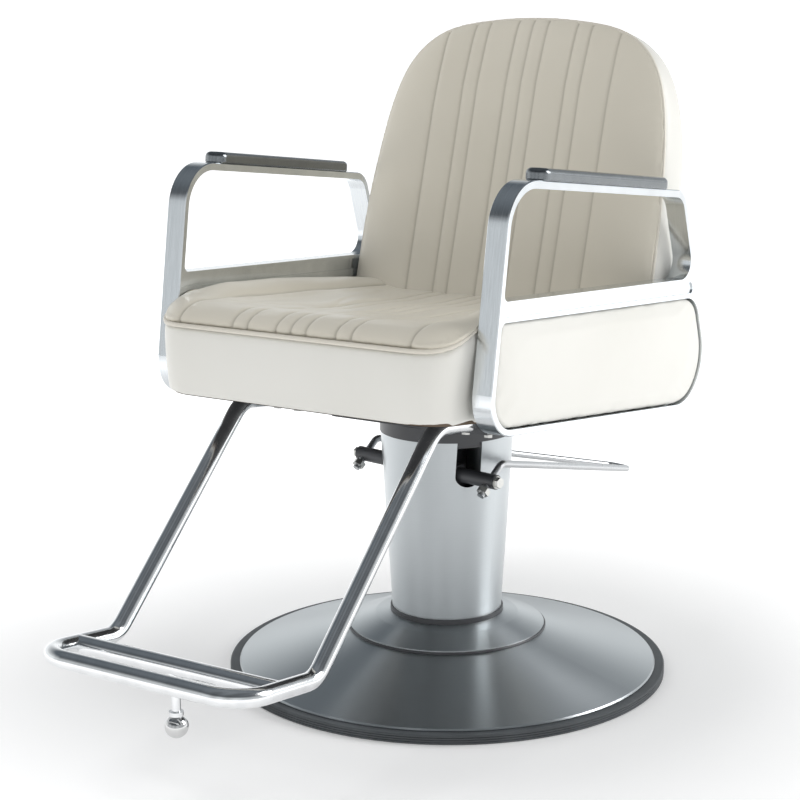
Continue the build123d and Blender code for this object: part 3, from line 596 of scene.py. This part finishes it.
seat_cushion = foam("seat_pad", "seat_cushion", 0.005, 2)
shape(seat_cushion, SEAT_PLACE, seat_rule)
home = SEAT_PLACE.inverted()
held = []
for vertex in seat_cushion.data.vertices:
    point = home @ vertex.co
    hidden = point.z < welt_height(point) + 0.006 or point.y > REAR_HELD
    sewn = min(abs(point.x - seam) for seam in SEAT_SEAMS) < STITCH_HELD
    if hidden or sewn:
        held.append(vertex.index)
inflate(seat_cushion, held, 4.0, 0.005)
refine(seat_cushion)
sew(seat_cushion, SEAT_PLACE, SEAT_SEAMS, lambda p: p.z > welt_height(p) + 0.002, 0.0028)
cover(seat_cushion, "channel_vinyl", ["seat_pad"])

# %% [markdown]
# ## Seat apron
# The apron is one deep band of ivory vinyl pulled tight over foam, a touch fuller at half
# height, with its lower edge rounded under.
# %% Seat apron


def apron_rule(point):
    rise = welt_height(point) / APRON
    fuller = 0.003 * math.sin(pi * min(1.0, max(0.0, point.z / APRON)))
    forward = ease(0.10 - point.y, 0.0, 0.10)
    return Vector((point.x, point.y - fuller * forward, point.z * rise))


apron = foam("seat_body", "seat_apron", 0.005, 4)
shape(apron, SEAT_PLACE, apron_rule)
refine(apron)
cover(apron, "ivory_vinyl", ["seat_body"])


# %% [markdown]
# ## Seat welt
# The welt is a thin cord wrapped in vinyl, sewn where cushion and apron meet. A very fine remesh
# rounds the CAD strip into a bead.
# %% Seat welt


def welt_rule(point):
    return Vector((point.x, point.y, point.z + welt_height(point) - APRON))


seat_welt = foam("seat_piping", "seat_welt", 0.0013, 5)
shape(seat_welt, SEAT_PLACE, welt_rule)
cover(seat_welt, "piping_vinyl", ["seat_piping"])

# %% [markdown]
# ## Back cushion
# The front of the back is nearly flat where the sitter leans and rolls away towards its welt,
# most of all over the arched top, so the straight seams seem to bend there.
# %% Back cushion
BACK_SEAMS = (-0.1395, -0.0942, -0.071, -0.0241, 0.0, 0.0241, 0.071, 0.0942, 0.1395)
PAD_DEPTH = 0.014
EDGE_ROLL = 0.055
ARCH_ROLL = 0.055
BACK_CROWN = 0.006
to_front = lambda point: (point.x, 0, point.z)
from_back_welt = edge_finder(["back_piping"], BACK_PLACE, to_front)


def back_rule(point):
    reach = EDGE_ROLL + ARCH_ROLL * ease(point.z, 0.10, 0.28)
    near = min(1.0, from_back_welt(point) / reach)
    roll = (PAD_DEPTH - 0.004) * (1 - math.sqrt(1 - (1 - near) ** 2))
    crown = BACK_CROWN * near
    share = min(1.0, max(0.0, 1 - point.y / PAD_DEPTH))
    return Vector((point.x, point.y + share * (roll - crown), point.z))


back_cushion = foam("back_pad", "back_cushion", 0.005, 2)
shape(back_cushion, BACK_PLACE, back_rule)
home = BACK_PLACE.inverted()
held = []
for vertex in back_cushion.data.vertices:
    point = home @ vertex.co
    hidden = point.y > PAD_DEPTH - 0.005 or point.z < -0.13
    sewn = min(abs(point.x - seam) for seam in BACK_SEAMS) < STITCH_HELD
    if hidden or sewn:
        held.append(vertex.index)
inflate(back_cushion, held, 4.0, 0.0045)
refine(back_cushion)
sew(back_cushion, BACK_PLACE, BACK_SEAMS, lambda p: p.y < PAD_DEPTH - 0.003, 0.0024)
cover(back_cushion, "channel_vinyl", ["back_pad"])

back_welt = foam("back_piping", "back_welt", 0.0013, 5)
cover(back_welt, "piping_vinyl", ["back_piping"])

# %% [markdown]
# ## Back boxing and rear cover
# Behind the welt a plain ivory band, the boxing, wraps round the sides and turns over a soft
# rear edge. It is deepest at the middle of its height and thins over the arch.
# %% Back boxing and rear cover


def boxing_rule(point):
    behind = max(0.0, point.y - PAD_DEPTH)
    thinner = 1 - 0.22 * ease(point.z, 0.10, 0.31)
    fuller = 0.003 * math.sin(pi * min(1.0, behind / 0.076))
    outward = Vector((point.x, 0, max(0.0, point.z))).normalized() * fuller
    return Vector((point.x + outward.x, PAD_DEPTH + behind * thinner * 1.02, point.z + outward.z))


back_cover = foam("back_shell", "back_cover", 0.006, 5)
shape(back_cover, BACK_PLACE, boxing_rule)
refine(back_cover)
cover(back_cover, "ivory_vinyl", ["back_shell"])

# %% [markdown]
# ## Side panels
# Each arm's lower window is filled by a thin padded panel, slightly crowned in its middle.
# %% Side panels
for side, sign in (("left", 1), ("right", -1)):
    node = f"side_panel_{side}"
    place = Matrix.Translation((0.2255 * sign, -0.278, 0)) @ Matrix.Rotation(radians(-2.5 * sign), 4, "Z")
    panel = foam(node, f"padded_panel_{side}", 0.004, 3)
    home = place.inverted()
    held = [v.index for v in panel.data.vertices if (home @ v.co).x * sign < 0.020]
    inflate(panel, held, 0.7, 0.0025)
    refine(panel)
    cover(panel, "ivory_vinyl", [node])

# %% [markdown]
# ## Plunger spring
# The pump's spring is pressed together when the lever goes down. It is a piece of its own, a
# copy of the CAD coil, set on the base.
# %% Plunger spring
coil = frame["nodes"]["plunger_spring"].data.copy()
spring = bpy.data.objects.new("pump_spring", coil)
scene.collection.objects.link(spring)
cover(spring, "satin_steel", ["plunger_spring"], body="base")
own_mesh(spring)
